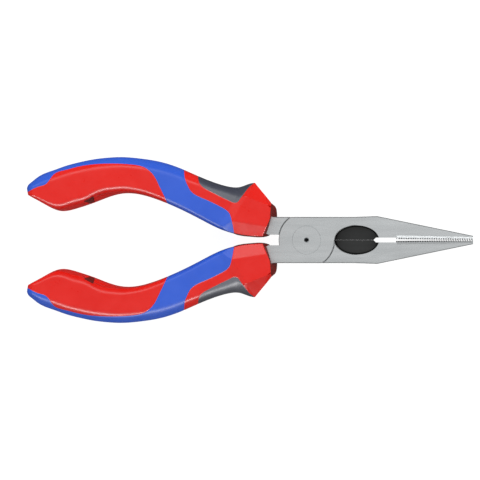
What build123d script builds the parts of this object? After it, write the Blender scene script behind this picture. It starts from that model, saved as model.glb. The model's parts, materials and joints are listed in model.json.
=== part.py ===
"""Needle-nose side-cutting pliers, 160 mm long: two forged halves crossing in a lap joint on one
rivet, each with a moulded grip of a hard core sleeve, a red panel, a red guard, a blue cover and a
grey thumb pad.

The halves are designed in the joint's frame: origin on the rivet axis at mid-thickness, X towards the
jaw tips, Z along the rivet. Each piece is then moved to the row frame, whose origin is under the middle
of the tool, on the surface it lies on. The front half has the upper jaw and the lower handle. The back
half is the same forging turned half a turn about X, so it has the lower jaw and the upper handle.
"""

from build123d import *

import os

# Overall sizes, mm
TOTAL_LENGTH = 160.0
PIVOT_TO_TIP = 59.75
GRIP_HALF_THICKNESS = 9.0

# Lap joint and rivet
JOINT_HALF_THICKNESS = 4.75
JOINT_HALF_WIDTH = 8.25
JOINT_EDGE = 0.3
LAP_RADIUS = 10.0
LAP_EDGE_GAP = 0.15
LAP_FACE_GAP = 0.02
EDGE_BREAK = 0.12
RIVET_SHAFT_RADIUS = 3.5
RIVET_HEAD_RADIUS = 5.15
RIVET_RIM_CHAMFER = 0.12
RIVET_RUNNING_GAP = 0.03
DIMPLE_RADIUS = 0.9
DIMPLE_DEPTH = 2.2
DIMPLE_POINT = 0.5

# Jaws
JAW_ROOT_X = 17.0
JAW_SHOULDER_X = 25.3
JAW_SHOULDER_HALF_WIDTH = 8.55
JAW_TIP_HALF_WIDTH = 1.5
JAW_TIP_HALF_THICKNESS = 1.3
JAW_CROWN = 0.35
TOOTH_START_X = 32.3
TOOTH_PITCH = 0.85
TOOTH_DEPTH = 0.5
VALLEY_MOUTH = 0.72
VALLEY_FLOOR = 0.28
TOOTH_SLANT = 0.18
TOOTH_GAP_START = 0.33
TOOTH_GAP_TIP = 0.015
SLOT_HALF_HEIGHT = 0.87
JAW_BEVEL_START = 1.7
JAW_BEVEL_TIP = 1.1
JAW_BEVEL_SLOPE = 0.47

# Cutter recess between the jaws, an oval round the cutting edges
OVAL_CENTRE_X = 18.0
OVAL_HALF_LENGTH = 7.96
OVAL_HALF_WIDTH = 5.2
RIM_SET_IN = 0.45
RIM_BREAK = 0.2
FRONT_FLOOR_RIM_Z = 1.3
EDGE_LAND = 0.15
EDGE_GAP = 0.01
CUTTER_END_X = 24.1
LAP_CORNER_Y = 1.8

# Handles
TANG_ROOT_X = -12.0
TANG_INNER_Y = 1.9
TANG_HALF_THICKNESS = 4.2
SHELL_THICKNESS = 1.8
POCKET_FLOOR_Z = 4.4

PIVOT_X = TOTAL_LENGTH / 2 - PIVOT_TO_TIP
TO_ROW = Pos(PIVOT_X, 0, GRIP_HALF_THICKNESS)
HALF_TURN = Rot(180, 0, 0)
FAR = 40.0


def prism(face, low, high):
    """The solid over a plan face in XY, from z low to z high."""
    return Pos(0, 0, low) * extrude(face, high - low)


def plan(*points):
    """The plan face inside straight lines through the points."""
    return make_face(Polyline(*points, close=True))


# ---- steel ----------------------------------------------------------------------------------------


def jaw_half_width(x):
    """Half the width of the closed pair of jaws, which taper straight from the shoulder to the tip."""
    slope = (JAW_SHOULDER_HALF_WIDTH - JAW_TIP_HALF_WIDTH) / (PIVOT_TO_TIP - JAW_SHOULDER_X)
    return JAW_SHOULDER_HALF_WIDTH - (x - JAW_SHOULDER_X) * slope


def jaw_half_thickness(x):
    """Half the thickness of the jaws, which thin from their root to the tip."""
    share = (x - JAW_ROOT_X) / (PIVOT_TO_TIP - JAW_ROOT_X)
    return JOINT_HALF_THICKNESS - share * (JOINT_HALF_THICKNESS - JAW_TIP_HALF_THICKNESS)


def jaw_section(x, half_width, half_thickness, crown, bevel):
    """A section across the pair of jaws at x: faces crowned by a shallow arc, bevelled outer edges."""
    edge = half_thickness - crown
    corners = [(-half_width, edge), (half_width, edge), (half_width, -edge), (-half_width, -edge)]
    if crown:
        front = ThreePointArc(corners[0], (0, half_thickness), corners[1])
        back = ThreePointArc(corners[2], (0, -half_thickness), corners[3])
    else:
        front = Line(corners[0], corners[1])
        back = Line(corners[2], corners[3])
    outline = make_face([front, Line(corners[1], corners[2]), back, Line(corners[3], corners[0])])
    return Plane.YZ.offset(x) * chamfer(outline.vertices(), bevel)


def head_envelope():
    """The outer form of both halves together: a flat joint that runs into crowned, tapered jaws."""
    joint = Box(FAR, 2 * JOINT_HALF_WIDTH, 2 * JOINT_HALF_THICKNESS)
    joint = chamfer(joint.edges().filter_by(Axis.X), JOINT_EDGE)
    joint = Pos(JAW_ROOT_X - FAR / 2, 0, 0) * joint
    shoulder_half_thickness = jaw_half_thickness(JAW_SHOULDER_X)
    shoulder = jaw_section(
        JAW_SHOULDER_X, JAW_SHOULDER_HALF_WIDTH, shoulder_half_thickness, JAW_CROWN, JOINT_EDGE
    )
    root = jaw_section(JAW_ROOT_X, JOINT_HALF_WIDTH, JOINT_HALF_THICKNESS, 0, JOINT_EDGE)
    nose = [shoulder]
    for x in (38.0, 50.0, PIVOT_TO_TIP):
        share = jaw_half_width(x) / JAW_SHOULDER_HALF_WIDTH
        nose.append(jaw_section(x, jaw_half_width(x), jaw_half_thickness(x), JAW_CROWN * share, JOINT_EDGE))
    return joint + loft([root, shoulder], ruled=True) + loft(nose)


def jaw_plan():
    """The upper jaw from above, with a plain gripping face: the cutting edge, its end and the slot."""
    return plan(
        (0.0, EDGE_GAP),
        (CUTTER_END_X, EDGE_GAP),
        (CUTTER_END_X + SLOT_HALF_HEIGHT, SLOT_HALF_HEIGHT),
        (TOOTH_START_X, SLOT_HALF_HEIGHT),
        (TOOTH_START_X, TOOTH_GAP_START),
        (PIVOT_TO_TIP, TOOTH_GAP_TIP),
        (PIVOT_TO_TIP, FAR / 2),
        (0.0, FAR / 2),
    )


def tooth_valleys():
    """The cuts between the upper jaw's teeth, which run slightly aslant across the gripping face."""
    valleys = []
    gap_slope = (TOOTH_GAP_START - TOOTH_GAP_TIP) / (PIVOT_TO_TIP - TOOTH_START_X)
    reach, mouth, floor, over = JOINT_HALF_THICKNESS, VALLEY_MOUTH / 2, VALLEY_FLOOR / 2, 0.02
    for tooth in range(int((PIVOT_TO_TIP - TOOTH_START_X) / TOOTH_PITCH)):
        x = TOOTH_START_X + TOOTH_PITCH * (tooth + 0.5)
        crest = TOOTH_GAP_START - gap_slope * (x - TOOTH_START_X)
        bottom, below = crest + TOOTH_DEPTH, crest - over
        valley = plan((x - mouth, below), (x - floor, bottom), (x + floor, bottom), (x + mouth, below))
        start = Pos(-TOOTH_SLANT * reach, 0, -reach) * valley
        valleys.append(extrude(start, 2 * reach, dir=(TOOTH_SLANT, 0, 1)))
    return valleys


def tang_plan():
    """The lower handle's tang from above: a shoulder beside the joint, then an arm inside the grip."""
    upper = Spline(
        (-13.5, -TANG_INNER_Y),
        (-22.0, -6.6),
        (-38.0, -12.7),
        (-54.0, -19.2),
        (-66.0, -21.0),
        (-78.0, -18.8),
        tangents=[(-1, -0.35), (-1, 0.3)],
    )
    lower = Spline(
        (-79.2, -23.6),
        (-66.0, -26.4),
        (-52.0, -24.6),
        (-36.0, -18.6),
        (-22.0, -13.4),
        (TANG_ROOT_X, -JOINT_HALF_WIDTH),
        tangents=[(1, -0.3), (1, 0.15)],
    )
    return make_face(
        [
            upper,
            Line((-78.0, -18.8), (-79.2, -23.6)),
            lower,
            Polyline(
                (TANG_ROOT_X, -JOINT_HALF_WIDTH),
                (0, -JOINT_HALF_WIDTH),
                (0, -TANG_INNER_Y),
                (-13.5, -TANG_INNER_Y),
            ),
        ]
    )


def tang_thickness_envelope():
    """Limits the tang: full thickness at the joint, a short slope, then thin inside the grip."""
    joint, tang = JOINT_HALF_THICKNESS, TANG_HALF_THICKNESS
    side = Plane.XZ * make_face(
        Polyline(
            (FAR * 2, joint),
            (-9.7, joint),
            (-17.0, tang),
            (-80.0, tang - 1.2),
            (-80.0, 1.2 - tang),
            (-17.0, -tang),
            (-9.7, -joint),
            (FAR * 2, -joint),
            close=True,
        )
    )
    return extrude(side, FAR, both=True)


def front_half_blank():
    """The front forging before the recess and the rivet hole: front lap plate, upper jaw and lower tang."""
    disc = Circle(LAP_RADIUS - LAP_EDGE_GAP)
    seat = Circle(LAP_RADIUS + LAP_EDGE_GAP)
    arms = jaw_plan() + tang_plan()
    front = prism(arms + disc, LAP_FACE_GAP, JOINT_HALF_THICKNESS)
    rear = prism(arms - seat, -JOINT_HALF_THICKNESS, LAP_FACE_GAP)
    notch = Pos(LAP_RADIUS + 0.2, LAP_CORNER_Y / 2, -FAR / 2) * Box(1.1, LAP_CORNER_Y, FAR)
    tang_zone = Pos(TANG_ROOT_X - FAR * 1.5, 0, 0) * Box(FAR * 3, FAR * 2, FAR)
    head_zone = head_envelope() + tang_zone
    return (front + rear - notch) & head_zone & tang_thickness_envelope()


def edge_ring(radius, side):
    """A thin ring that breaks a lap arc's front edge, on its outer side (1) or its inner side (-1)."""
    top, over = JOINT_HALF_THICKNESS, 0.02
    corner = Polyline(
        (radius + side * EDGE_BREAK, top + over),
        (radius - side * over, top + over),
        (radius - side * over, top - EDGE_BREAK),
        close=True,
    )
    return revolve(Plane.XZ * make_face(corner), Axis.Z)


def broken_edges():
    """What breaks the front half's sharp edges: the lap plate's two free arcs and the seat's arc behind."""
    plate_ring = edge_ring(LAP_RADIUS - LAP_EDGE_GAP, -1)
    tang_side = Pos(-FAR / 2, FAR / 2 - TANG_INNER_Y, 0) * Box(FAR, FAR, FAR)
    jaw_side = Pos(FAR / 2, -FAR / 2, 0) * Box(FAR, FAR, FAR)
    seat_ring = HALF_TURN * edge_ring(LAP_RADIUS + LAP_EDGE_GAP, 1)
    return [plate_ring & tang_side, plate_ring & jaw_side, seat_ring]


def jaw_bevel():
    """The shallow V groove that bevels both jaws' inner edges along the front of the toothed zone."""
    sections, over = [], 1.5
    for x, reach in ((TOOTH_START_X, JAW_BEVEL_START), (PIVOT_TO_TIP, JAW_BEVEL_TIP)):
        face = jaw_half_thickness(x)
        rise = over * JAW_BEVEL_SLOPE
        corners = plan(
            (0, face - reach * JAW_BEVEL_SLOPE), (reach + over, face + rise), (-reach - over, face + rise)
        )
        sections.append(Plane.YZ.offset(x) * corners)
    return loft(sections, ruled=True)


def oval(set_in=0.0, half_width=None):
    """The recess's outline, set in by that much, or with another half width."""
    width = OVAL_HALF_WIDTH - set_in if half_width is None else half_width
    return Pos(OVAL_CENTRE_X, 0) * Ellipse(OVAL_HALF_LENGTH - set_in, width)


def cutter_recess():
    """What is milled away round the cutting edges: a walled recess in front, a plain bevel behind."""
    over = 0.5
    top = JOINT_HALF_THICKNESS + over
    low_rim = JOINT_HALF_THICKNESS - RIM_BREAK
    rim = loft([Pos(0, 0, top) * oval(-RIM_BREAK - over), Pos(0, 0, low_rim) * oval()], ruled=True)
    wall = loft([Pos(0, 0, top) * oval(), Pos(0, 0, FRONT_FLOOR_RIM_Z) * oval(RIM_SET_IN)], ruled=True)
    floor = loft(
        [Pos(0, 0, FRONT_FLOOR_RIM_Z) * oval(RIM_SET_IN), Pos(0, 0, EDGE_LAND) * oval(RIM_SET_IN, 0.25)],
        ruled=True,
    )
    bevel = loft([Pos(0, 0, -top) * oval(), Pos(0, 0, -EDGE_LAND) * oval(RIM_SET_IN, 0.25)], ruled=True)
    return [rim, wall, floor, bevel]


def rivet_form(gap=0.0):
    """The rivet's outer form, a shaft with a countersunk head at each face, grown by a running gap."""
    half, shaft, head = JOINT_HALF_THICKNESS, RIVET_SHAFT_RADIUS + gap, RIVET_HEAD_RADIUS + gap
    reach = head - shaft
    profile = Plane.XZ * make_face(
        Polyline(
            (0, -half),
            (head, -half),
            (shaft, reach - half),
            (shaft, half - reach),
            (head, half),
            (0, half),
            close=True,
        )
    )
    return revolve(profile, Axis.Z)


def rivet():
    """The joint's rivet, ground flush, with a rim line and a centre dimple at both ends."""
    body = rivet_form()
    rim = Pos(0, 0, JOINT_HALF_THICKNESS) * (
        Cylinder(RIVET_HEAD_RADIUS + 1, 2 * RIVET_RIM_CHAMFER)
        - Cone(RIVET_HEAD_RADIUS, RIVET_HEAD_RADIUS - 2 * RIVET_RIM_CHAMFER, 2 * RIVET_RIM_CHAMFER)
    )
    dimple = Pos(0, 0, JOINT_HALF_THICKNESS - DIMPLE_DEPTH / 2) * Cylinder(DIMPLE_RADIUS, DIMPLE_DEPTH)
    point_z = JOINT_HALF_THICKNESS - DIMPLE_DEPTH - DIMPLE_POINT / 2
    dimple += Pos(0, 0, point_z) * Cone(0.05, DIMPLE_RADIUS, DIMPLE_POINT)
    for cut in (rim, dimple):
        body = body - cut - HALF_TURN * cut
    return body


# ---- upper grip -----------------------------------------------------------------------------------

# Stations along the grip: inner edge point, outer edge point, half thickness, corner radius
BODY_STATIONS = (
    ((-100.0, 16.4), (-100.25, 18.6), 4.0, 1.0),
    ((-98.4, 15.3), (-98.9, 20.7), 6.2, 2.2),
    ((-94.4, 13.2), (-95.2, 23.1), 8.0, 3.2),
    ((-89.4, 10.6), (-90.4, 25.1), 9.2, 3.8),
    ((-84.6, 10.6), (-85.8, 26.7), 9.3, 4.0),
    ((-77.0, 12.9), (-78.2, 28.6), 9.3, 4.0),
    ((-69.0, 15.9), (-69.4, 29.7), 9.3, 4.0),
    ((-61.0, 16.5), (-60.0, 29.3), 9.3, 4.0),
    ((-53.5, 14.5), (-50.5, 27.5), 9.1, 4.0),
    ((-45.5, 11.1), (-41.5, 24.2), 8.8, 4.0),
    ((-37.0, 7.0), (-33.0, 20.7), 8.6, 4.0),
    ((-29.5, 3.3), (-27.0, 19.0), 8.6, 4.0),
    ((-24.0, 1.6), (-23.0, 19.1), 8.8, 4.0),
)
GUARD_STATIONS = (
    ((-24.0, 1.6), (-23.0, 19.1), 8.8, 4.0),
    ((-18.6, 0.9), (-18.4, 20.4), 9.2, 3.4),
    ((-15.0, 0.8), (-12.9, 13.6), 8.8, 3.0),
)


def grip_section(inner, outer, half_thickness, radius, inset=0.0):
    """A rounded rectangle that stands on the line from the inner to the outer edge point."""
    across = Vector(*outer) - Vector(*inner)
    middle = (Vector(*outer) + Vector(*inner)) / 2
    plane = Plane(origin=middle, x_dir=across.normalized(), z_dir=across.cross(Vector(0, 0, 1)))
    width = across.length - 2 * inset
    return plane * RectangleRounded(width, 2 * (half_thickness - inset), max(radius - inset, 0.4))


def grip_form():
    """The upper grip's outer form, flat in front and behind over the rear panel."""
    body = loft([grip_section(*station) for station in BODY_STATIONS])
    guard = loft([grip_section(*station) for station in GUARD_STATIONS], ruled=True)
    slab = Pos(-60, 20, 0) * Box(3 * FAR, 2 * FAR, 2 * GRIP_HALF_THICKNESS)
    return (body + guard) & slab


def core_form():
    """The core sleeve's outer form, one shell thickness inside the grip."""
    inset = SHELL_THICKNESS
    body = loft([grip_section(*station, inset=inset) for station in BODY_STATIONS[2:]])
    guard = loft([grip_section(*station, inset=inset) for station in GUARD_STATIONS], ruled=True)
    return body + guard


def mouth_collar():
    """The core's collar before the guard: a lip below the tang, a rim across it and a cheek above it."""
    outline = plan(
        (-18.0, 0.95),
        (-15.2, 0.95),
        (-13.2, 1.6),
        (-14.1, 2.1),
        (-12.1, 8.25),
        (-10.5, 8.25),
        (-10.5, 9.9),
        (-11.4, 11.6),
        (-13.6, 14.0),
        (-18.0, 13.0),
    )
    slope = plan((-30, -7.2), (-13.4, -7.2), (-10.4, -5.0), (-10.4, 5.0), (-13.4, 7.2), (-30, 7.2))
    collar = prism(outline, -GRIP_HALF_THICKNESS, GRIP_HALF_THICKNESS)
    return collar & extrude(Plane.XZ * slope, FAR, both=True)


def panel_plan():
    """The rear red panel's area: below the line from the tail, along the back, to the inner edge."""
    edge = Spline(
        (-101.5, 16.6),
        (-96.0, 19.0),
        (-92.6, 20.1),
        (-90.0, 23.6),
        (-82.0, 26.1),
        (-69.7, 27.3),
        (-59.0, 26.4),
        (-54.1, 22.6),
        (-51.4, 16.6),
        (-49.6, 12.0),
    )
    return make_face([edge, Polyline((-49.6, 12.0), (-52.0, 0.0), (-103, 0.0), (-101.5, 16.6))])


def guard_plan():
    """The guard's area, with the strip that runs back between the cover and the pad."""
    edge = Spline(
        (-43.9, 27.0),
        (-43.4, 22.0),
        (-40.6, 16.8),
        (-32.3, 12.7),
        (-27.6, 9.6),
        (-26.5, 5.0),
        (-25.8, 0.0),
    )
    return make_face([edge, Polyline((-25.8, 0.0), (0.0, 0.0), (0.0, 27.0), (-43.9, 27.0))])


def pad_plan():
    """The grey thumb pad's area, over the hollow behind the guard's peak."""
    edge = Spline((-38.7, 24.0), (-38.0, 20.2), (-34.0, 17.3), (-25.4, 13.25))
    return make_face([edge, Polyline((-25.4, 13.25), (-18.1, 20.9), (-18.1, 24.0), (-38.7, 24.0))])


def pocket():
    """The two pockets in the inner edge, one in front and one behind, on each side of a middle web."""
    area = plan((-79.4, 13.6), (-73.0, 17.4), (-69.0, 18.5), (-65.0, 17.9), (-65.0, 8.0), (-77.8, 8.0))
    front = prism(area, POCKET_FLOOR_Z, FAR)
    return [front, mirror(front, Plane.XY)]


def upper_grip(tang):
    """The five pieces of the upper grip, moulded round its tang, as {name: solid}."""
    form = grip_form()
    core = core_form()
    for cut in pocket():
        form = form - cut
        core = core - cut
    shell = form - core
    collar = mouth_collar() - form
    pieces = {"core_sleeve": core + collar - tang}
    panel, guard, pad = (prism(area, -FAR, FAR) for area in (panel_plan(), guard_plan(), pad_plan()))
    pieces["rear_panel"] = shell & panel
    pieces["thumb_pad"] = shell & pad
    pieces["guard"] = (shell & guard) - pad - tang
    pieces["cover"] = shell - panel - guard
    return pieces


# ---- assembly -------------------------------------------------------------------------------------


def build():
    """Every node of the pliers, in the row frame."""
    blank = front_half_blank()
    for cut in [*broken_edges(), *tooth_valleys()]:
        blank = blank - cut
    halves = {"front_half": blank, "back_half": HALF_TURN * blank}
    groove = jaw_bevel()
    for cut in [*cutter_recess(), groove, HALF_TURN * groove]:
        halves = {name: half - cut for name, half in halves.items()}
    nodes = {
        "front_half": halves["front_half"] - rivet_form(),
        "back_half": halves["back_half"] - rivet_form(RIVET_RUNNING_GAP),
        "rivet": rivet(),
    }
    for name, piece in upper_grip(nodes["back_half"]).items():
        nodes[f"upper_{name}"] = piece
        nodes[f"lower_{name}"] = HALF_TURN * piece
    return {name: TO_ROW * piece for name, piece in nodes.items()}


os.makedirs("parts", exist_ok=True)
for node_name, node_shape in build().items():
    export_step(node_shape, f"parts/{node_name}.step")
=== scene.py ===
"""Looks of the needle nose pliers: moulded shells for the grips, satin steel and studio light.

Shapes are in millimetres in the joint's frame: origin on the rivet's axis at mid-thickness, X towards the
jaw tips. They are those of the upper grip. The lower grip is the same one turned half a turn about X.
"""

import json
import math

import bmesh
import bpy
import numpy as np
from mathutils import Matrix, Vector


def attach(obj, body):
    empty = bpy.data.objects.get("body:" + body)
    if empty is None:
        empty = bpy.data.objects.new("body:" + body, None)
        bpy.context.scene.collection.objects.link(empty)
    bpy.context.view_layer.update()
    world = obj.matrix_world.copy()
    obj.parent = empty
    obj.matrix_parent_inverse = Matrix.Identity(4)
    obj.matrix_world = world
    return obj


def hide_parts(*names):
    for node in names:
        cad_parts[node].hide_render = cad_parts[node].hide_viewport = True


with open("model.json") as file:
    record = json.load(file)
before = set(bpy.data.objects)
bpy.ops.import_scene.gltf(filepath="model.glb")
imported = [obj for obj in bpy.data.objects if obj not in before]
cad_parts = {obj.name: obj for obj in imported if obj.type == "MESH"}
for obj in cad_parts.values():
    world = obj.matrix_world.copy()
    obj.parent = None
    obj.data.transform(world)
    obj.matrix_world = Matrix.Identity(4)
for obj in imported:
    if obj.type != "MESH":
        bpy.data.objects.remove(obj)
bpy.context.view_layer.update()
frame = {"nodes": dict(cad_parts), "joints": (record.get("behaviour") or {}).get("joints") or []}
hinge = frame["joints"][0]
PIVOT = Vector(hinge["pos_m"])
MM = 0.001

# ---- outline of the upper grip: (inner edge point, outer edge point), from the tail to the mouth ----

BODY_CHORDS = (
    ((-99.75, 16.15), (-100.15, 18.45)),
    ((-99.35, 15.90), (-99.75, 19.40)),
    ((-98.20, 15.25), (-98.60, 20.60)),
    ((-95.40, 13.75), (-96.30, 22.45)),
    ((-91.20, 11.45), (-92.60, 24.30)),
    ((-88.60, 10.50), (-90.00, 25.20)),
    ((-85.60, 10.45), (-86.70, 26.40)),
    ((-81.50, 11.50), (-82.60, 27.55)),
    ((-75.60, 13.50), (-76.20, 28.90)),
    ((-70.50, 15.45), (-70.80, 29.52)),
    ((-66.60, 16.50), (-66.60, 29.72)),
    ((-60.40, 16.45), (-59.00, 29.15)),
    ((-55.00, 15.05), (-52.40, 28.05)),
    ((-49.00, 12.75), (-45.60, 25.90)),
    ((-42.80, 9.90), (-38.80, 22.95)),
    ((-36.60, 6.70), (-32.60, 20.50)),
    ((-30.00, 3.55), (-26.80, 18.98)),
    ((-25.60, 2.20), (-23.40, 19.10)),
    ((-22.40, 1.58), (-20.60, 20.10)),
    ((-19.60, 1.24), (-18.45, 20.55)),
)
GUARD_CHORDS = (
    ((-19.60, 1.24), (-18.45, 20.55)),
    ((-17.80, 1.14), (-16.60, 18.25)),
    ((-16.00, 1.10), (-14.60, 15.85)),
    ((-13.60, 1.22), (-12.20, 12.85)),
    ((-12.60, 1.32), (-11.40, 11.85)),
)
CORE_MOUTH_CHORDS = (
    ((-17.60, 0.95), (-15.20, 15.50)),
    ((-15.60, 1.00), (-12.90, 13.45)),
    ((-14.40, 1.20), (-11.50, 12.40)),
    ((-13.60, 1.45), (-10.75, 11.30)),
    ((-13.30, 1.60), (-10.50, 9.80)),
    ((-13.15, 1.70), (-10.42, 8.50)),
)

# ---- profiles along the grip: (x of the middle of the chord, value) ----

HALF_THICKNESS = ((-100, 9.0), (-60, 9.0), (-50, 8.85), (-42, 8.55), (-35, 8.35), (-12, 8.35))
INNER_SIDE = (
    (-100, 0.2), (-92, 0.3), (-88.5, 0.9), (-84, 1.8), (-79.6, 1.2), (-75.5, 2.4), (-72.5, 2.3),
    (-69, 1.3), (-65, 0.7), (-62, 0.5), (-56, 0.4), (-49, 0.3), (-30, 0.25), (-12, 0.2),
)
INNER_RADIUS = (
    (-100, 1.4), (-91, 2.2), (-84, 3.0), (-68, 3.0), (-62, 2.3), (-48, 1.8), (-30, 1.5), (-24, 1.7),
    (-12, 1.7),
)
OUTER_SHOULDER = (
    (-100, 1.6), (-96, 3.2), (-90, 4.2), (-80, 4.4), (-52, 4.4), (-44, 4.2), (-39, 3.4), (-36, 3.4),
    (-30, 3.4), (-25.5, 4.6), (-22.5, 3.6), (-20.5, 1.8), (-19, 0.5), (-12, 0.4),
)
OUTER_ROUNDNESS = ((-100, 2.2), (-90, 2.3), (-30, 2.3), (-24, 1.6), (-19, 1.4), (-12, 1.4))
EASING = 1.5
EASING_SAMPLES = 7

# ---- the section's powers, limits and divisions, and the tail's rounding ----

SIDE_BULGE = 1.35
ARC_START = 0.45
OUTER_WALL = 2.5
INNER_LIMIT = 0.2
OUTER_LIMIT = 0.5
INNER_STEPS = 28
FLAT_STEPS = 40
OUTER_STEPS = 18
TAIL_ROUNDING = 2.6
TAIL_POWERS = (2.4, 2.2)

# ---- spacing of the chords, and of the points along the parts' edges ----

BODY_STEP = 0.34
GUARD_STEP = 0.16
CORE_STEP = 0.4
CORE_MOUTH_STEP = 0.25
EDGE_STEP = 0.25

# ---- the guard's facets, as lines in plan with what falls away on one side of them ----

FULL_HALF_THICKNESS = 9.0
GUARD_RISE = 0.65
GUARD_RISE_LENGTH = 3.2
GUARD_RIDGE = ((-25.7, 8.3), (-18.5, 20.5))
INNER_FACET = ((-25.5, 6.7), (-14.8, 5.0), 0.28)
OUTER_FACET = ((-12.8, 12.0), (-21.3, 15.4), 0.85)
BEVEL_FACET = ((-13.6, 12.0), (-19.4, 19.15), 1.6)
FACET_SOFTNESS = 0.01
FACET_FADE = 4.0
FACET_LENGTH = 16.0
FACET_LEAST_HEIGHT = 0.5
CREASE_START_X = -26.0

# ---- the cove in the inner edge, in front and behind, with its window onto the core sleeve's painted shade ----

COVE = (
    (-79.3, 13.1), (-77.5, 14.0), (-75.7, 14.9), (-73.0, 16.1), (-70.5, 16.7), (-68.0, 17.2), (-65.0, 17.3),
    (-62.0, 12.0), (-77.0, 10.0), (-79.3, 11.0),
)
COVE_FLOOR = ((-80, 3.8), (-75.5, 4.2), (-70, 5.6), (-66, 7.6), (-62, 9.6))
COVE_WALL_SLOPE = 8.0
COVE_FLOOR_SLOPE = 1.0
COVE_SOFTNESS = 0.9
COVE_REACH = 4.0
# The window sits where shade falls at the cove's end, so the dark red core seen in it is painted shade.
CORE_SHADE_WINDOW = ((-79.5, 13.75), (-76.1, 15.6), (-75.4, 12.4), (-77.3, 12.9))
WINDOW_SILL = 1.2
WINDOW_BLEND = 0.6
WINDOW_BLEND_START = 0.4
WINDOW_INSET_SHARE = 0.25

# ---- edges of the coloured parts, in plan ----

PANEL_EDGE = (
    (-102.0, 16.2), (-99.7, 17.0), (-95.8, 19.0), (-93.1, 19.9), (-91.5, 21.7), (-89.9, 23.7),
    (-86.2, 25.0), (-82.0, 26.1), (-77.9, 26.85), (-73.8, 27.2), (-69.7, 27.3), (-65.6, 27.2),
    (-61.5, 26.85), (-58.2, 26.1), (-56.0, 24.7), (-54.1, 22.4), (-52.5, 19.1), (-50.9, 15.8),
    (-49.7, 13.0), (-48.6, 10.0),
)
PANEL_FAR = ((-48.6, 0.0), (-102.0, 0.0))
GUARD_EDGE = (
    (-44.0, 28.0), (-43.7, 24.4), (-43.4, 22.0), (-42.6, 19.9), (-41.3, 17.5), (-38.9, 15.7), (-35.2, 14.1),
    (-31.9, 12.5), (-29.0, 10.9), (-27.6, 9.6), (-26.9, 7.6), (-26.2, 4.3), (-25.9, 2.4), (-25.7, -1.0),
)
GUARD_FAR = ((0.0, -1.0), (0.0, 28.0))
PAD_EDGE = (
    (-38.9, 26.0), (-38.7, 22.6), (-38.3, 20.5), (-36.85, 18.8), (-34.4, 17.4), (-31.1, 15.7),
    (-27.8, 14.1), (-25.9, 13.35), (-24.9, 13.4), (-23.7, 14.7), (-22.0, 17.0), (-20.3, 19.1),
    (-18.5, 20.6), (-17.5, 21.8),
)
PAD_FAR = ((-17.5, 26.0),)
RIM_EDGE = ((-9.0, 30.0), (-12.55, 13.3), (-12.9, 10.5), (-13.1, 7.6), (-15.5, 1.8), (-16.2, -1.0))
RIM_FAR = ((-60.0, -1.0), (-60.0, 30.0))

# ---- thickness of the shells, the core sleeve under them, and the seams between the colours ----

SHELL = 1.1
CORE_INSET = 1.15
CORE_INSET_FADE = 3.0
CORE_INNER_INSET = (
    (-82, 1.15), (-80.4, 0.1), (-75.4, 0.1), (-73.8, 1.15), (-27.5, 1.15), (-25, -0.22), (-12, -0.22),
)
MOUTH_SLOPE = 1.5
MOUTH_EDGE = 0.06
SEAM_WIDTH = 0.24
SEAM_DEPTH = 0.08

# ---- a surface point's columns: outer and inner place, then depth in each area and past the crease ----

PLACE_COLUMNS = 6
PANEL, GUARD, PAD, RIM, WINDOW, CREASE = range(6)

# ---- clean-up of the meshes: two distances in metres, and the angle in degrees of a sharp edge ----

MERGE_DISTANCE = 2e-6
COLLAPSE_DISTANCE = 1e-6
SHARP_ANGLE = 38

# ---- colours of the steel ----

DULL_STEEL = (0.510, 0.530, 0.538)
BRIGHT_STEEL = (0.605, 0.626, 0.634)
LINE_STEEL = (0.425, 0.443, 0.451)
# The two blacks are the oxide in the cutters' recess and painted shade in the rivet's drilled hole; the
# third black is painted shade along the walls.
DULL_OXIDE_AND_SHADE = (0.034, 0.035, 0.035)
BRIGHT_OXIDE_AND_SHADE = (0.042, 0.043, 0.043)
RIM_PAINTED_SHADE = (0.002, 0.002, 0.002)

# ---- softboxes, in metres in the row frame ----

LIGHT_TARGET = Vector((0.0, 0.0, 0.01))
BROAD_PLACE = (0.0, 0.50, 0.87)
BROAD_SIZE = (1.0, 0.35)
STRIP_PLACE = (0.0, -0.77, 0.64)
STRIP_SIZE = (1.4, 0.15)


# ---- curves ------------------------------------------------------------------------------------------


def cubic(knots, values, at):
    """Values of the natural cubic spline through (knots, values), one column per coordinate."""
    knots, values = np.asarray(knots, float), np.asarray(values, float)
    count, gap = len(knots), np.diff(knots)
    system, right = np.eye(count), np.zeros((count, values.shape[1]))
    for i in range(1, count - 1):
        system[i, i - 1 : i + 2] = gap[i - 1], 2 * (gap[i - 1] + gap[i]), gap[i]
        right[i] = 6 * ((values[i + 1] - values[i]) / gap[i] - (values[i] - values[i - 1]) / gap[i - 1])
    bend = np.linalg.solve(system, right)
    span = np.clip(np.searchsorted(knots, at, side="right") - 1, 0, count - 2)
    width = gap[span][:, None]
    ahead, behind = (knots[span + 1] - at)[:, None] / width, (at - knots[span])[:, None] / width
    return (
        ahead * values[span]
        + behind * values[span + 1]
        + ((ahead**3 - ahead) * bend[span] + (behind**3 - behind) * bend[span + 1]) * width**2 / 6
    )


def distance_along(points):
    """Each point's distance from the first, along the straight lines between them."""
    return np.concatenate([[0], np.cumsum(np.linalg.norm(np.diff(points, axis=0), axis=1))])


def evenly_spaced(along, step):
    """Distances from the first to the last, about a step apart."""
    return np.linspace(0, along[-1], int(along[-1] / step) + 2)


def smooth_line(points):
    """Closely spaced points along the smooth curve through the points."""
    points = np.array(points, float)
    along = distance_along(points)
    return cubic(along, points, evenly_spaced(along, EDGE_STEP))


def profile(table, x):
    """A profile's value at x, with its corners eased."""
    xs, values = zip(*table)
    shifts = np.linspace(-EASING, EASING, EASING_SAMPLES)
    return np.mean([np.interp(x + shift, xs, values) for shift in shifts], axis=0)


def smooth_min(a, b, softness):
    """The lower of a and b, with the corner between them rounded."""
    blend = np.clip(0.5 + 0.5 * (b - a) / softness, 0, 1)
    return b + (a - b) * blend - softness * blend * (1 - blend)


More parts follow.
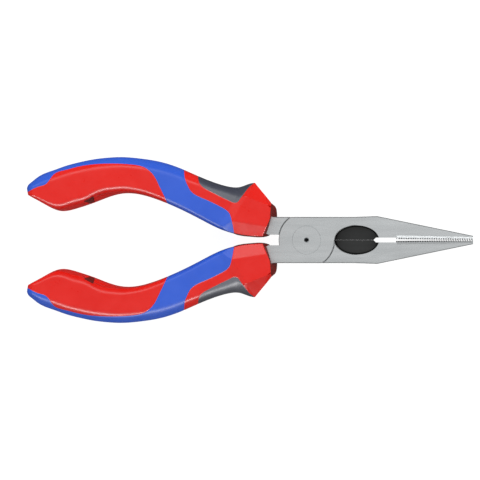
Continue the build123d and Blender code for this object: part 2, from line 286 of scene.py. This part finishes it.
def beyond(line, xy):
    """How far each point lies to the right of the directed line in plan."""
    (x0, y0), (x1, y1) = line
    dx, dy = x1 - x0, y1 - y0
    return ((xy[..., 0] - x0) * dy - (xy[..., 1] - y0) * dx) / math.hypot(dx, dy)


def inside(area, xy):
    """Whether each point lies in the closed polygon."""
    x, y = xy[..., 0], xy[..., 1]
    found = np.zeros(x.shape, bool)
    for (x0, y0), (x1, y1) in zip(area, np.roll(area, -1, axis=0)):
        if y0 != y1:
            found ^= ((y0 > y) != (y1 > y)) & (x < (x1 - x0) * (y - y0) / (y1 - y0) + x0)
    return found


def depth_in(edge, far, xy):
    """Distance to the edge curve, positive inside the area that the edge and the far points enclose."""
    least = np.full(xy.shape[:-1], np.inf)
    for start, end in zip(edge[:-1], edge[1:]):
        way = end - start
        share = np.clip(((xy - start) @ way) / (way @ way), 0, 1)
        least = np.minimum(least, np.linalg.norm(xy - start - share[..., None] * way, axis=-1))
    area = np.vstack([edge, np.array(far, float)]) if len(far) else edge
    return np.where(inside(area, xy), least, -least)


def depth_in_polygon(corners, xy):
    """Distance to the polygon's outline, positive inside it."""
    return depth_in(np.array(corners + corners[:1]), (), xy)


# ---- the grip's surface ------------------------------------------------------------------------------


def chord_table(chords, step):
    """Chords interpolated at an even spacing: rows of inner x, inner y, outer x, outer y."""
    rows = np.array([(*inner, *outer) for inner, outer in chords], float)
    along = distance_along((rows[:, :2] + rows[:, 2:]) / 2)
    return cubic(along, rows, evenly_spaced(along, step))


def section_points():
    """The front half of a section as (part, share along that part)."""
    inner = [("inner", share) for share in np.linspace(0, 1, INNER_STEPS, endpoint=False)]
    flat = [("flat", share) for share in np.linspace(0, 1, FLAT_STEPS, endpoint=False)]
    outer = [("outer", share) for share in np.linspace(0, 1, OUTER_STEPS + 1)]
    return inner + flat + outer


def inner_side(share, side, radius, half_thickness):
    """The inner side's place and height: a steep side up to an arc that turns into the flat face."""
    tilt = np.arctan2(half_thickness, side)
    tangent = radius * np.tan(tilt / 2)
    if share < ARC_START:
        climb = share / ARC_START
        left = 1 - tangent / np.hypot(side, half_thickness)
        return side * left * climb**SIDE_BULGE, half_thickness * left * climb
    turn = tilt * (1 - (share - ARC_START) / (1 - ARC_START))
    return side + tangent - radius * np.sin(turn), half_thickness - radius * (1 - np.cos(turn))


def front_sheet(rows):
    """Plan positions and heights of the front half of the surface, one row of points per chord."""
    inner, outer = rows[:, :2], rows[:, 2:]
    span = np.linalg.norm(outer - inner, axis=1)
    x = (inner[:, 0] + outer[:, 0]) / 2
    full = profile(HALF_THICKNESS, x)
    side = np.minimum(profile(INNER_SIDE, x), INNER_LIMIT * span)
    radius = np.minimum(profile(INNER_RADIUS, x), INNER_LIMIT * span)
    inner_width, _ = inner_side(1.0, side, radius, full)
    outer_width = np.minimum(profile(OUTER_SHOULDER, x), OUTER_LIMIT * span)
    outer_round = profile(OUTER_ROUNDNESS, x)
    places, heights = [], []
    for part, share in section_points():
        if part == "inner":
            place, height = inner_side(share, side, radius, full)
        elif part == "flat":
            place, height = inner_width + share * (span - inner_width - outer_width), full
        else:
            angle = share * math.pi / 2
            place = span - outer_width * (1 - math.sin(angle) ** (2 / outer_round))
            height = full * max(math.cos(angle), 0.0) ** (2 / OUTER_WALL)
        places.append(inner + (outer - inner) * (place / span)[:, None])
        heights.append(height)
    return np.stack(places, axis=1), np.stack(heights, axis=1)


def sculpt(plan, height):
    """The heights after the guard's rise and facets and the cove are worked into the plain section."""
    before_ridge = -beyond(GUARD_RIDGE, plan)
    rise = GUARD_RISE * np.clip(1 - before_ridge / GUARD_RISE_LENGTH, 0, 1)
    height = height * (1 + rise / profile(HALF_THICKNESS, plan[..., 0]))
    for start, end, slope in (INNER_FACET, OUTER_FACET, BEVEL_FACET):
        past = beyond((start, end), plan) * np.clip(1 - before_ridge / FACET_FADE, 0, 1)
        facet = FULL_HALF_THICKNESS - slope * past
        near = (plan[..., 0] > start[0] - FACET_LENGTH) & (height > FACET_LEAST_HEIGHT)
        height = np.where(near, smooth_min(height, facet, FACET_SOFTNESS), height)
    out_of_cove = -depth_in_polygon(COVE, plan)
    floor = profile(COVE_FLOOR, plan[..., 0]) + COVE_FLOOR_SLOPE * np.minimum(out_of_cove, 0)
    floor += COVE_WALL_SLOPE * np.maximum(out_of_cove, 0)
    height = np.where(out_of_cove < COVE_REACH, smooth_min(height, floor, COVE_SOFTNESS), height)
    return np.minimum(height, FULL_HALF_THICKNESS)


def grip_rows():
    """The upper grip's chords, and the share of the full height that the tail's rounding leaves at each."""
    body = chord_table(BODY_CHORDS, BODY_STEP)
    guard = chord_table(GUARD_CHORDS, GUARD_STEP)
    rows = np.vstack([body, guard[1:]])
    from_tail = distance_along((rows[:, :2] + rows[:, 2:]) / 2)
    left = 1 - np.clip(from_tail / TAIL_ROUNDING, 0, 1)
    end_power, face_power = TAIL_POWERS
    return rows, (1 - left**end_power) ** (1 / face_power)


def loops(plan, height):
    """Closed section loops made of the front sheet and its mirror image behind."""
    front = np.dstack([plan, height])
    back = np.dstack([plan, -height])[:, -2:0:-1]
    return np.concatenate([front, back], axis=1)


def inset_rows(rows, inner_by, outer_by):
    """The same chords, drawn in at both ends."""
    inner, outer = rows[:, :2], rows[:, 2:]
    way = (outer - inner) / np.linalg.norm(outer - inner, axis=1)[:, None]
    return np.hstack([inner + way * np.reshape(inner_by, (-1, 1)), outer - way * outer_by])


# ---- cutting the surface into coloured parts ---------------------------------------------------------


class Patchwork:
    """The points of a surface that is cut into parts: an outer place, an inner place and fields each."""

    TOLERANCE = 0.015

    def __init__(self, outer, inner, fields):
        self.values = list(np.hstack([outer, inner, fields]))

    def split(self, polygons, field, level=0.0):
        """The polygons above and below a level of one field, cut exactly along it."""
        above, below, made = [], [], {}
        for polygon in polygons:
            gaps = [self.values[v][PLACE_COLUMNS + field] - level for v in polygon]
            signs = [0 if abs(g) < self.TOLERANCE else (1 if g > 0 else -1) for g in gaps]
            if min(signs) >= 0:
                above.append(polygon)
                continue
            if max(signs) <= 0:
                below.append(polygon)
                continue
            high, low = [], []
            for i, vertex in enumerate(polygon):
                following = (i + 1) % len(polygon)
                if signs[i] >= 0:
                    high.append(vertex)
                if signs[i] <= 0:
                    low.append(vertex)
                if signs[i] * signs[following] < 0:
                    crossing = self.crossing(made, vertex, polygon[following], gaps[i], gaps[following])
                    high.append(crossing)
                    low.append(crossing)
            for side, cut in ((above, high), (below, low)):
                if len(cut) > 2:
                    side.append(cut)
        return above, below

    def crossing(self, made, a, b, gap_a, gap_b):
        """The point where the edge from a to b meets the level, made once for both of its polygons."""
        key = (min(a, b), max(a, b))
        if key not in made:
            share = gap_a / (gap_a - gap_b)
            made[key] = len(self.values)
            self.values.append(self.values[a] * (1 - share) + self.values[b] * share)
        return made[key]

    def line(self, polygons, field, level):
        """The polygons with an edge added along a level of a field."""
        above, below = self.split(polygons, field, level)
        return above + below

    def crease(self, polygons, field, crest):
        """The polygons with an edge added along a field's zero line, raised to the crest's height."""
        first_made = len(self.values)
        polygons = self.line(polygons, field, 0.0)
        for value in self.values[first_made:]:
            value[2] = math.copysign(crest, value[2])
        return polygons


def ring_quads(rows, around):
    """Quads between neighbouring section loops of so many points."""
    quads = []
    for row in range(rows - 1):
        for point in range(around):
            a = row * around + point
            b = row * around + (point + 1) % around
            quads.append([a, b, b + around, a + around])
    return quads


def to_row(points):
    """Points in millimetres in the joint's frame, as metres in the row frame."""
    return np.asarray(points) * MM + np.array(PIVOT)


def tidy_mesh(mesh):
    """Merges doubled points, drops collapsed faces, makes the faces look outward and shades by angle."""
    work = bmesh.new()
    work.from_mesh(mesh)
    bmesh.ops.remove_doubles(work, verts=work.verts, dist=MERGE_DISTANCE)
    bmesh.ops.dissolve_degenerate(work, edges=work.edges, dist=COLLAPSE_DISTANCE)
    bmesh.ops.recalc_face_normals(work, faces=work.faces)
    work.to_mesh(mesh)
    work.free()
    mesh.shade_smooth()
    mesh.set_sharp_from_angle(angle=math.radians(SHARP_ANGLE))


def add_piece(name, points, faces, body, material, replaced):
    """Adds one finished piece that rides a body and replaces a CAD node."""
    mesh = bpy.data.meshes.new(name)
    mesh.from_pydata(to_row(points).tolist(), [], faces)
    mesh.validate()
    tidy_mesh(mesh)
    mesh.materials.append(material)
    obj = bpy.data.objects.new(name, mesh)
    bpy.context.scene.collection.objects.link(obj)
    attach(obj, body)
    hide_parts(replaced)
    return obj


def shell_of(patchwork, polygons):
    """Points and faces of the shell between polygons' two places, with walled rims and grooved seams."""
    used = sorted({v for polygon in polygons for v in polygon})
    place = {v: i for i, v in enumerate(used)}
    values = np.array([patchwork.values[v] for v in used])
    outer, inner, fields = values[:, :3], values[:, 3:PLACE_COLUMNS], values[:, PLACE_COLUMNS:]
    way = inner - outer
    way /= np.maximum(np.linalg.norm(way, axis=1), 1e-6)[:, None]
    seam = np.clip(1 - np.abs(fields[:, :CREASE]).min(axis=1) / SEAM_WIDTH, 0, 1)
    outer = outer + way * (SEAM_DEPTH * seam)[:, None]
    count = len(used)
    faces, edges = [], {}
    for polygon in polygons:
        local = [place[v] for v in polygon]
        faces.append(local)
        faces.append([v + count for v in reversed(local)])
        for a, b in zip(local, local[1:] + local[:1]):
            edges[(a, b)] = edges.get((a, b), 0) + 1
    for a, b in edges:
        if (b, a) not in edges:
            faces.append([b, a, a + count, b + count])
    return np.vstack([outer, inner]), faces


# ---- materials -----------------------------------------------------------------------------------------


class Shader:
    """A material's node tree, built with short calls."""

    NOISE_ROUGHNESS = 0.55
    COLOUR_A, COLOUR_B, COLOUR_RESULT = 6, 7, 2

    def __init__(self, name):
        self.material = bpy.data.materials.new(name)
        self.material.use_nodes = True
        self.tree = self.material.node_tree
        self.principled = self.tree.nodes["Principled BSDF"]
        self.where = self.node("ShaderNodeTexCoord").outputs["Object"]

    def node(self, kind, **settings):
        """A new node with some of its settings."""
        made = self.tree.nodes.new(kind)
        for key, value in settings.items():
            setattr(made, key, value)
        return made

    def feed(self, socket, value):
        """Links another socket to this one, or sets its constant."""
        if isinstance(value, bpy.types.NodeSocket):
            self.tree.links.new(value, socket)
        else:
            socket.default_value = value

    def scaled(self, scale):
        """The object's coordinates, scaled along each axis."""
        mapping = self.node("ShaderNodeMapping")
        self.feed(mapping.inputs["Vector"], self.where)
        mapping.inputs["Scale"].default_value = scale
        return mapping.outputs["Vector"]

    def noise(self, scale, detail, vector=None):
        """Fractal noise from 0 to 1."""
        made = self.node("ShaderNodeTexNoise")
        self.feed(made.inputs["Vector"], vector or self.where)
        made.inputs["Scale"].default_value = scale
        made.inputs["Detail"].default_value = detail
        made.inputs["Roughness"].default_value = self.NOISE_ROUGHNESS
        return made.outputs["Fac"]

    def span(self, value, low, high, new_low, new_high):
        """The value with one range stretched to another, and kept inside it."""
        made = self.node("ShaderNodeMapRange")
        for socket, number in zip(made.inputs, (value, low, high, new_low, new_high)):
            self.feed(socket, number)
        return made.outputs["Result"]

    def maths(self, operation, a, b):
        """A sum, difference, product or quotient of two values."""
        made = self.node("ShaderNodeMath", operation=operation)
        self.feed(made.inputs[0], a)
        self.feed(made.inputs[1], b)
        return made.outputs["Value"]

    def mix(self, share, a, b):
        """The colour a where the share is 0 and b where it is 1."""
        made = self.node("ShaderNodeMix", data_type="RGBA")
        self.feed(made.inputs["Factor"], share)
        for index, value in ((self.COLOUR_A, a), (self.COLOUR_B, b)):
            self.feed(made.inputs[index], (*value, 1) if isinstance(value, tuple) else value)
        return made.outputs[self.COLOUR_RESULT]

    def bump(self, height, distance, normal=None):
        """A normal tilted by the height, which is the given distance at 1."""
        made = self.node("ShaderNodeBump")
        self.feed(made.inputs["Height"], height)
        made.inputs["Distance"].default_value = distance
        made.inputs["Strength"].default_value = 1.0
        if normal is not None:
            self.feed(made.inputs["Normal"], normal)
        return made.outputs["Normal"]

    def oval(self, centre_x, half_length, half_width):
        """The squared distance from an oval's centre, 1 along the oval."""
        place = self.node("ShaderNodeSeparateXYZ")
        self.feed(place.inputs["Vector"], self.where)
        along = self.maths("DIVIDE", self.maths("SUBTRACT", place.outputs["X"], centre_x), half_length)
        up = self.maths("DIVIDE", place.outputs["Y"], half_width)
        return self.maths("ADD", self.maths("MULTIPLY", along, along), self.maths("MULTIPLY", up, up))

    def set(self, **inputs):
        """Sets or links the shader's own inputs, with underscores for the spaces in their names."""
        for name, value in inputs.items():
            self.feed(self.principled.inputs[name.replace("_", " ")], value)


def plastic(name, deep, bright, roughness, grain, ior):
    """Moulded plastic: a fine spark-eroded grain, a slight flow variation in colour and uneven gloss."""
    shader = Shader(name)
    flow = shader.noise(60.0, detail=3.0)
    fine = shader.noise(5200.0, detail=2.0)
    colour = shader.mix(shader.span(flow, 0.3, 0.7, 0.0, 1.0), deep, bright)
    shader.set(Base_Color=colour, IOR=ior)
    worn = shader.noise(240.0, detail=5.0)
    shader.set(Roughness=shader.span(worn, 0.3, 0.7, roughness - 0.04, roughness + 0.05))
    shader.set(Normal=shader.bump(fine, grain))
    return shader.material


def steel(name, oxide_and_shade_oval, rim_shade_oval):
    """Ground satin steel with grinding lines and fine scratches; one oval is black (oxide in the cutters'
    recess, painted shade in the rivet's hole) and ringed near-black with painted shade.
    """
    shader = Shader(name)
    lines = shader.noise(1.0, detail=6.0, vector=shader.scaled((260.0, 5200.0, 1600.0)))
    streaks = shader.noise(1.0, detail=3.0, vector=shader.scaled((45.0, 420.0, 300.0)))
    scratch = shader.noise(1.0, detail=2.0, vector=shader.scaled((900.0, 9000.0, 900.0)))
    bright = shader.span(streaks, 0.3, 0.7, 0.0, 1.0)
    tone = shader.mix(bright, DULL_STEEL, BRIGHT_STEEL)
    tone = shader.mix(shader.span(lines, 0.35, 0.65, 0.0, 0.35), tone, LINE_STEEL)
    # Black oval: the oxide of the cutters' recess, and painted shade in the rivet's drilled hole.
    dark = shader.span(shader.oval(*oxide_and_shade_oval), 0.985, 1.0, 1.0, 0.0)
    # Painted shade: outside the inner oval the colour goes near-black where the recess wall lies in shade.
    rim = shader.span(shader.oval(*rim_shade_oval), 0.9, 1.05, 0.0, 1.0)
    black = shader.mix(rim, shader.mix(bright, DULL_OXIDE_AND_SHADE, BRIGHT_OXIDE_AND_SHADE), RIM_PAINTED_SHADE)
    rough = shader.mix(dark, shader.span(lines, 0.3, 0.7, 0.21, 0.31), (0.6, 0.6, 0.6))
    shader.set(Base_Color=shader.mix(dark, tone, black), Roughness=rough)
    shader.set(Metallic=shader.span(dark, 0.0, 1.0, 0.65, 0.0), IOR=1.3)
    shader.set(Normal=shader.bump(scratch, 0.0000012, normal=shader.bump(lines, 0.000002)))
    return shader.material


def joint_oval(centre_x, half_length, half_width):
    """An oval in the joint's frame, in millimetres, as metres in the row frame."""
    return PIVOT.x + centre_x * MM, half_length * MM, half_width * MM


RED = plastic("red_plastic", (0.535, 0.0045, 0.0008), (0.565, 0.0055, 0.0012), 0.31, 0.000006, 1.36)
BLUE = plastic("blue_plastic", (0.010, 0.066, 0.440), (0.013, 0.074, 0.470), 0.43, 0.000006, 1.36)
GREY = plastic("grey_rubber", (0.026, 0.030, 0.050), (0.033, 0.037, 0.060), 0.54, 0.000010, 1.7)
# Painted shade: the core's dark red shows only in the cove's window and at the collar by the mouth, where
# shade falls.
CORE_SHADE_RED = plastic("core_plastic", (0.125, 0.0085, 0.0055), (0.145, 0.0100, 0.0065), 0.40, 0.000006, 1.36)
# The ring between the recess's two ovals is painted shade along its wall, wider at the left end.
STEEL = steel("satin_steel", joint_oval(18.0, 8.0, 5.24), joint_oval(18.2, 7.6, 4.75))
# Painted shade: the rivet's ovals blacken its drilled hole.
RIVET_STEEL = steel("rivet_steel", joint_oval(0.0, 0.6, 0.6), joint_oval(0.0, 0.4, 0.4))


# ---- building the grips ---------------------------------------------------------------------------------


def grip_parts():
    """Points and faces of each part of the upper grip, by CAD node."""
    rows, tail = grip_rows()
    plan, height = front_sheet(rows)
    height = sculpt(plan, height) * tail[:, None]
    outer = loops(plan, height)
    inner_plan, inner_height = front_sheet(inset_rows(rows, SHELL, SHELL))
    inner_height = sculpt(inner_plan, inner_height) * tail[:, None]
    inner = loops(inner_plan, np.minimum(inner_height, np.maximum(height - SHELL, 0)))
    count, around = outer.shape[:2]
    flat_outer, flat_inner = outer.reshape(-1, 3), inner.reshape(-1, 3)
    xy = flat_outer[:, :2]
    window = np.minimum(depth_in_polygon(CORE_SHADE_WINDOW, xy), np.abs(flat_outer[:, 2]) - WINDOW_SILL)
    fields = np.stack(
        [
            depth_in(smooth_line(PANEL_EDGE), PANEL_FAR, xy),
            depth_in(smooth_line(GUARD_EDGE), GUARD_FAR, xy),
            depth_in(smooth_line(PAD_EDGE), PAD_FAR, xy),
            depth_in(np.array(RIM_EDGE), RIM_FAR, xy),
            window,
            np.minimum(beyond(OUTER_FACET[:2], xy), xy[:, 0] - CREASE_START_X),
        ],
        axis=1,
    )
    work = Patchwork(flat_outer, flat_inner, fields)
    panel, rest = work.split(ring_quads(count, around), PANEL)
    panel = work.line(panel, PANEL, SEAM_WIDTH)
    _, panel = work.split(panel, WINDOW)
    pad, rest = work.split(rest, PAD)
    pad = work.line(pad, PAD, SEAM_WIDTH)
    guard, cover = work.split(rest, GUARD)
    guard = work.line(work.line(guard, GUARD, SEAM_WIDTH), PAD, -SEAM_WIDTH)
    guard, _ = work.split(work.line(guard, RIM, SEAM_WIDTH), RIM)
    guard = work.crease(guard, CREASE, FULL_HALF_THICKNESS)
    cover = work.line(work.line(cover, PANEL, -SEAM_WIDTH), GUARD, -SEAM_WIDTH)
    return {
        "rear_panel": shell_of(work, panel),
        "guard": shell_of(work, guard),
        "cover": shell_of(work, cover),
        "thumb_pad": shell_of(work, pad),
    }


def core_part():
    """The core sleeve: a closed body under the shells that shows in the windows and ends in a collar; its
    dark red is painted shade.
    """
    body = chord_table(BODY_CHORDS[2:-1], CORE_STEP)
    mouth = chord_table(CORE_MOUTH_CHORDS, CORE_MOUTH_STEP)
    inner_inset = profile(CORE_INNER_INSET, (body[:, 0] + body[:, 2]) / 2)
    rows = np.vstack([inset_rows(body, inner_inset, CORE_INSET), mouth])
    plan, height = front_sheet(rows)
    height = sculpt(plan, height)
    blend = WINDOW_BLEND_START - depth_in_polygon(CORE_SHADE_WINDOW, plan) / WINDOW_BLEND
    inset = CORE_INSET * np.clip(blend, WINDOW_INSET_SHARE, 1)
    height = height - inset * np.minimum(height / CORE_INSET_FADE, 1)
    nose = np.clip(np.linspace(MOUTH_SLOPE, 0.0, len(mouth)), MOUTH_EDGE, 1)
    height[len(body) :] *= nose[:, None]
    surface = loops(plan, height)
    count, around = surface.shape[:2]
    faces = ring_quads(count, around)
    faces.append(list(range(around))[::-1])
    faces.append([(count - 1) * around + i for i in range(around)])
    return surface.reshape(-1, 3), faces


LOOKS = {
    "rear_panel": (RED, "red_plastic"),
    "guard": (RED, "red_plastic"),
    "cover": (BLUE, "blue_plastic"),
    "thumb_pad": (GREY, "grey_rubber"),
    "core_sleeve": (CORE_SHADE_RED, "core_plastic"),
}


def build_grips():
    """Every moulded piece of both grips."""
    parts, made = grip_parts(), []
    parts["core_sleeve"] = core_part()
    for side, body, turn in (("upper", "back_lever", 1), ("lower", "front_lever", -1)):
        for node, (points, faces) in parts.items():
            material, slot = LOOKS[node]
            turned = points * np.array([1, turn, turn])
            name = f"{side}_{node}"
            made.append(add_piece(f"{name}_moulding", turned, faces, body, material, name))
    return made


def dress_steel():
    """Gives the CAD meshes of the steel pieces their materials."""
    for node, material in (("front_half", STEEL), ("back_half", STEEL), ("rivet", RIVET_STEEL)):
        mesh = frame["nodes"][node].data
        mesh.materials.clear()
        mesh.materials.append(material)


# ---- stage -----------------------------------------------------------------------------------------------


def floor():
    """A plain pale floor just under the grips."""
    reach, level = 1.6, -0.0002
    mesh = bpy.data.meshes.new("floor")
    corners = [(x * reach, y * reach, level) for x, y in ((-1, -1), (1, -1), (1, 1), (-1, 1))]
    mesh.from_pydata(corners, [], [(0, 1, 2, 3)])
    shader = Shader("pale_floor")
    tint = shader.noise(9.0, detail=3.0)
    shader.set(Base_Color=shader.mix(tint, (0.18, 0.18, 0.18), (0.20, 0.20, 0.20)), Roughness=0.9)
    shader.set(Emission_Color=(1.0, 1.0, 1.0, 1.0), Emission_Strength=0.93)
    mesh.materials.append(shader.material)
    obj = bpy.data.objects.new("floor", mesh)
    bpy.context.scene.collection.objects.link(obj)
    obj.visible_diffuse = False
    obj.visible_glossy = False


def area_light(name, place, size, power, diffuse=True, lit=()):
    """A soft light towards the object, which can be for highlights only or be kept to some pieces."""
    data = bpy.data.lights.new(name, "AREA")
    data.shape = "RECTANGLE"
    data.size, data.size_y = size
    data.energy = power
    obj = bpy.data.objects.new(name, data)
    obj.location = place
    obj.visible_diffuse = diffuse
    obj.rotation_mode = "QUATERNION"
    obj.rotation_quaternion = (LIGHT_TARGET - Vector(place)).to_track_quat("-Z", "Y")
    bpy.context.scene.collection.objects.link(obj)
    if lit:
        receivers = bpy.data.collections.new(f"{name}_receivers")
        for piece in lit:
            receivers.objects.link(piece)
        obj.light_linking.receiver_collection = receivers


def world_light(overhead, surround, fill, fill_below, seen):
    """A dome with a soft patch overhead to reflect, a fill for diffuse light and a plain pale backdrop."""
    world = bpy.data.worlds.new("studio")
    bpy.context.scene.world = world
    world.use_nodes = True
    nodes, links = world.node_tree.nodes, world.node_tree.links
    nodes.clear()
    parts = nodes.new("ShaderNodeSeparateXYZ")
    links.new(nodes.new("ShaderNodeTexCoord").outputs["Generated"], parts.inputs[0])

    def background(*stops):
        """A grey that goes through (height, level) stops, from 0 at the horizon and below to 1 overhead."""
        shade = nodes.new("ShaderNodeBackground")
        ramp = nodes.new("ShaderNodeValToRGB")
        for element, (height, level) in zip(ramp.color_ramp.elements, stops):
            element.position, element.color = height, (level, level, level, 1)
        links.new(parts.outputs["Z"], ramp.inputs["Fac"])
        links.new(ramp.outputs["Color"], shade.inputs["Color"])
        return shade.outputs[0]

    def choose(ray, otherwise, chosen):
        """One background for a kind of ray, and another for all other rays."""
        mix = nodes.new("ShaderNodeMixShader")
        links.new(path.outputs[ray], mix.inputs["Fac"])
        links.new(otherwise, mix.inputs[1])
        links.new(chosen, mix.inputs[2])
        return mix.outputs[0]

    path = nodes.new("ShaderNodeLightPath")
    reflected = background((0.5, surround), (0.8, overhead))
    diffuse = background((0.0, fill_below), (0.3, fill))
    lit = choose("Is Diffuse Ray", reflected, diffuse)
    shown = choose("Is Camera Ray", lit, background((0.0, seen), (1.0, seen)))
    links.new(shown, nodes.new("ShaderNodeOutputWorld").inputs["Surface"])


def camera():
    """A long lens that looks straight down on the pliers."""
    distance, frame_width, centre_x = 1.5, 0.17204, -0.00351
    data = bpy.data.cameras.new("camera")
    data.sensor_width = 36.0
    data.lens = data.sensor_width * distance / frame_width
    obj = bpy.data.objects.new("camera", data)
    obj.location = (centre_x, 0.0, PIVOT.z + distance)
    bpy.context.scene.collection.objects.link(obj)
    bpy.context.scene.camera = obj


mouldings = build_grips()
dress_steel()
floor()
world_light(overhead=0.80, surround=0.05, fill=0.85, fill_below=1.60, seen=0.95)
area_light("broad_softbox", BROAD_PLACE, BROAD_SIZE, 2.0)
area_light("strip_softbox", STRIP_PLACE, STRIP_SIZE, 2.0, diffuse=False)
area_light("grip_broad_softbox", BROAD_PLACE, BROAD_SIZE, 5.8, lit=mouldings)
area_light("grip_strip_softbox", STRIP_PLACE, STRIP_SIZE, 28.0, diffuse=False, lit=mouldings)
camera()
bpy.context.scene.view_settings.view_transform = "Standard"
